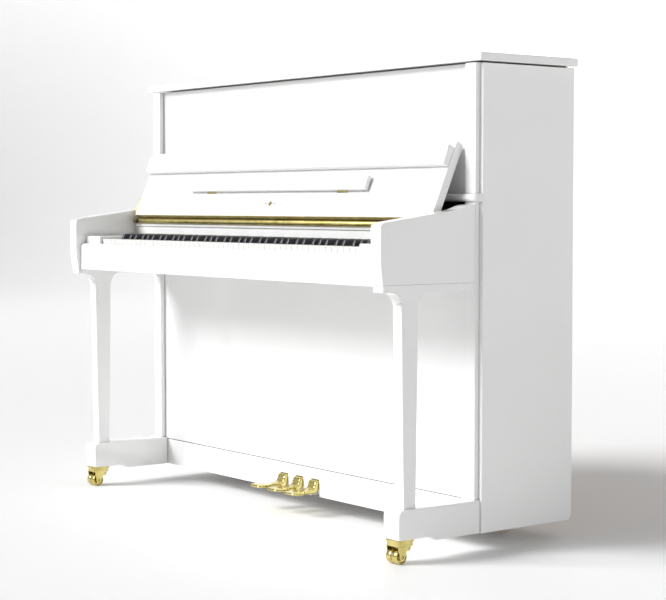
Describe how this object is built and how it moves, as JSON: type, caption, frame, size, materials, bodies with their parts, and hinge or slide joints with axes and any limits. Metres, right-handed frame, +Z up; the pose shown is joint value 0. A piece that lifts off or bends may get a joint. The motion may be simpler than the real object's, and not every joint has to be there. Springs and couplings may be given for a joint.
{
  "type": "upright piano",
  "caption": "White gloss upright piano on casters, with hinged lid and fallboard, keyboard, music flap, tapered legs and brass pedals.",
  "frame": {"origin": "centre of the footprint on the floor, under the middle of the bounding box; the caster wheels touch Z = 0", "axes": "+X along the keyboard from bass to treble, +Y from the player towards the back, +Z up"},
  "size_m": [1.52, 0.6182, 1.205],
  "materials": {
    "white_gloss": "high-gloss white polyester lacquer on wood panels",
    "brass": "polished brass",
    "key_white": "smooth white acrylic key tops",
    "key_black": "satin black sharps",
    "beech": "clear-coated hardwood",
    "spruce": "varnished spruce",
    "steel": "plain steel screws, pins and wire",
    "rubber": "black rubber buffers",
    "iron": "gold-bronze paint on cast iron",
    "felt": "pressed wool felt",
    "action": "plain maple action frame"
  },
  "bodies": {
    "case": {"action_frame": "action", "arm_left": "white_gloss", "arm_right": "white_gloss", "back_frame": "beech", "bass_bridge": "beech", "bottom_board": "beech", "bottom_rail": "white_gloss", "fallboard_back_rail": "white_gloss", "fallboard_hinge": "brass", "hammer_row": "felt", "iron_plate": "iron", "key_block_left": "white_gloss", "key_block_right": "white_gloss", "key_frame": "beech", "key_slip": "white_gloss", "keybed": "beech", "keys_bass": "key_white", "keys_treble": "key_white", "knee_panel": "white_gloss", "ledge_rail": "white_gloss", "leg_bracket_left": "white_gloss", "leg_bracket_right": "white_gloss", "leg_left": "white_gloss", "leg_right": "white_gloss", "lid_hinge": "brass", "nameboard": "white_gloss", "pin_block": "beech", "side_panel_left": "white_gloss", "side_panel_right": "white_gloss", "soundboard": "spruce", "stile_left": "white_gloss", "stile_right": "white_gloss", "toe_block_left": "white_gloss", "toe_block_right": "white_gloss", "treble_bridge": "beech", "upper_panel": "white_gloss"},
    "lid": {"lid": "white_gloss"},
    "fallboard": {"fallboard": "white_gloss", "fallboard_lip": "white_gloss"},
    "music_flap": {"music_flap": "white_gloss"},
    "key_C4": {"key_C4": "key_white"},
    "key_Csharp4": {"key_Csharp4": "key_black"},
    "key_D4": {"key_D4": "key_white"},
    "key_Dsharp4": {"key_Dsharp4": "key_black"},
    "key_E4": {"key_E4": "key_white"},
    "pedal_soft": {"pedal_soft": "brass"},
    "pedal_practice": {"pedal_practice": "brass"},
    "pedal_sustain": {"pedal_sustain": "brass"},
    "trap_lever_soft": {"trap_lever_soft": "beech"},
    "trap_lever_practice": {"trap_lever_practice": "beech"},
    "trap_lever_sustain": {"trap_lever_sustain": "beech"},
    "caster_fork_front_left": {"caster_fork_front_left": "brass"},
    "caster_fork_front_right": {"caster_fork_front_right": "brass"},
    "caster_fork_rear_left": {"caster_fork_rear_left": "brass"},
    "caster_fork_rear_right": {"caster_fork_rear_right": "brass"},
    "caster_wheels_front_left": {"caster_wheels_front_left": "brass"},
    "caster_wheels_front_right": {"caster_wheels_front_right": "brass"},
    "caster_wheels_rear_left": {"caster_wheels_rear_left": "brass"},
    "caster_wheels_rear_right": {"caster_wheels_rear_right": "brass"}
  },
  "joints": [
    {"name": "lid_open", "type": "hinge", "parent": "case", "child": "lid", "pos_m": [0, 0.3055, 1.186], "axis": [-1, 0, 0], "range_deg": [0, 100]},
    {"name": "fallboard_close", "type": "hinge", "parent": "case", "child": "fallboard", "pos_m": [0, -0.1065, 0.8113], "axis": [1, 0, 0], "range_deg": [0, 121.5]},
    {"name": "music_flap_open", "type": "hinge", "parent": "fallboard", "child": "music_flap", "pos_m": [0, -0.08747, 0.87617], "axis": [-1, 0, 0], "range_deg": [-85, 0]},
    {"name": "pedal_soft_press", "type": "hinge", "parent": "case", "child": "pedal_soft", "pos_m": [-0.072, 0.122, 0.088], "axis": [1, 0, 0], "range_deg": [0, 4], "stiffness_Nm_per_rad": 60, "springref_deg": -2.86},
    {"name": "pedal_practice_press", "type": "hinge", "parent": "case", "child": "pedal_practice", "pos_m": [0, 0.122, 0.088], "axis": [1, 0, 0], "range_deg": [0, 4], "stiffness_Nm_per_rad": 60, "springref_deg": -2.86},
    {"name": "pedal_sustain_press", "type": "hinge", "parent": "case", "child": "pedal_sustain", "pos_m": [0.072, 0.122, 0.088], "axis": [1, 0, 0], "range_deg": [0, 4], "stiffness_Nm_per_rad": 60, "springref_deg": -2.86},
    {"name": "trap_lever_soft_rock", "type": "hinge", "parent": "case", "child": "trap_lever_soft", "pos_m": [-0.3, 0.068, 0.106], "axis": [0, 1, 0], "range_deg": [0, 1.2]},
    {"name": "trap_lever_practice_rock", "type": "hinge", "parent": "case", "child": "trap_lever_practice", "pos_m": [-0.2, 0.098, 0.106], "axis": [0, 1, 0], "range_deg": [0, 0.8]},
    {"name": "trap_lever_sustain_rock", "type": "hinge", "parent": "case", "child": "trap_lever_sustain", "pos_m": [0.3, 0.068, 0.106], "axis": [0, -1, 0], "range_deg": [0, 1.2]},
    {"name": "key_C4_press", "type": "hinge", "parent": "case", "child": "key_C4", "pos_m": [0, -0.043, 0.72], "axis": [1, 0, 0], "range_deg": [0, 2.5], "stiffness_Nm_per_rad": 0.6, "springref_deg": -14.32},
    {"name": "key_Csharp4_press", "type": "hinge", "parent": "case", "child": "key_Csharp4", "pos_m": [0, -0.043, 0.72], "axis": [1, 0, 0], "range_deg": [0, 2.5], "stiffness_Nm_per_rad": 0.6, "springref_deg": -14.32},
    {"name": "key_D4_press", "type": "hinge", "parent": "case", "child": "key_D4", "pos_m": [0, -0.043, 0.72], "axis": [1, 0, 0], "range_deg": [0, 2.5], "stiffness_Nm_per_rad": 0.6, "springref_deg": -14.32},
    {"name": "key_Dsharp4_press", "type": "hinge", "parent": "case", "child": "key_Dsharp4", "pos_m": [0, -0.043, 0.72], "axis": [1, 0, 0], "range_deg": [0, 2.5], "stiffness_Nm_per_rad": 0.6, "springref_deg": -14.32},
    {"name": "key_E4_press", "type": "hinge", "parent": "case", "child": "key_E4", "pos_m": [0, -0.043, 0.72], "axis": [1, 0, 0], "range_deg": [0, 2.5], "stiffness_Nm_per_rad": 0.6, "springref_deg": -14.32},
    {"name": "caster_front_left_swivel", "type": "hinge", "parent": "case", "child": "caster_fork_front_left", "pos_m": [-0.7135, -0.224, 0.04], "axis": [0, 0, 1], "continuous": true},
    {"name": "caster_front_left_roll", "type": "hinge", "parent": "caster_fork_front_left", "child": "caster_wheels_front_left", "pos_m": [-0.7135, -0.2425, 0.0175], "axis": [1, 0, 0], "continuous": true},
    {"name": "caster_front_right_swivel", "type": "hinge", "parent": "case", "child": "caster_fork_front_right", "pos_m": [0.7135, -0.224, 0.04], "axis": [0, 0, 1], "continuous": true},
    {"name": "caster_front_right_roll", "type": "hinge", "parent": "caster_fork_front_right", "child": "caster_wheels_front_right", "pos_m": [0.7135, -0.2425, 0.0175], "axis": [1, 0, 0], "continuous": true},
    {"name": "caster_rear_left_swivel", "type": "hinge", "parent": "case", "child": "caster_fork_rear_left", "pos_m": [-0.515, 0.248, 0.04], "axis": [0, 0, 1], "continuous": true},
    {"name": "caster_rear_left_roll", "type": "hinge", "parent": "caster_fork_rear_left", "child": "caster_wheels_rear_left", "pos_m": [-0.515, 0.2665, 0.0175], "axis": [1, 0, 0], "continuous": true},
    {"name": "caster_rear_right_swivel", "type": "hinge", "parent": "case", "child": "caster_fork_rear_right", "pos_m": [0.515, 0.248, 0.04], "axis": [0, 0, 1], "continuous": true},
    {"name": "caster_rear_right_roll", "type": "hinge", "parent": "caster_fork_rear_right", "child": "caster_wheels_rear_right", "pos_m": [0.515, 0.2665, 0.0175], "axis": [1, 0, 0], "continuous": true}
  ],
  "couplings": [
    {"joint": "trap_lever_soft_rock", "follows": "pedal_soft_press", "ratio": 0.2368},
    {"joint": "trap_lever_practice_rock", "follows": "pedal_practice_press", "ratio": 0.12},
    {"joint": "trap_lever_sustain_rock", "follows": "pedal_sustain_press", "ratio": 0.2368}
  ]
}
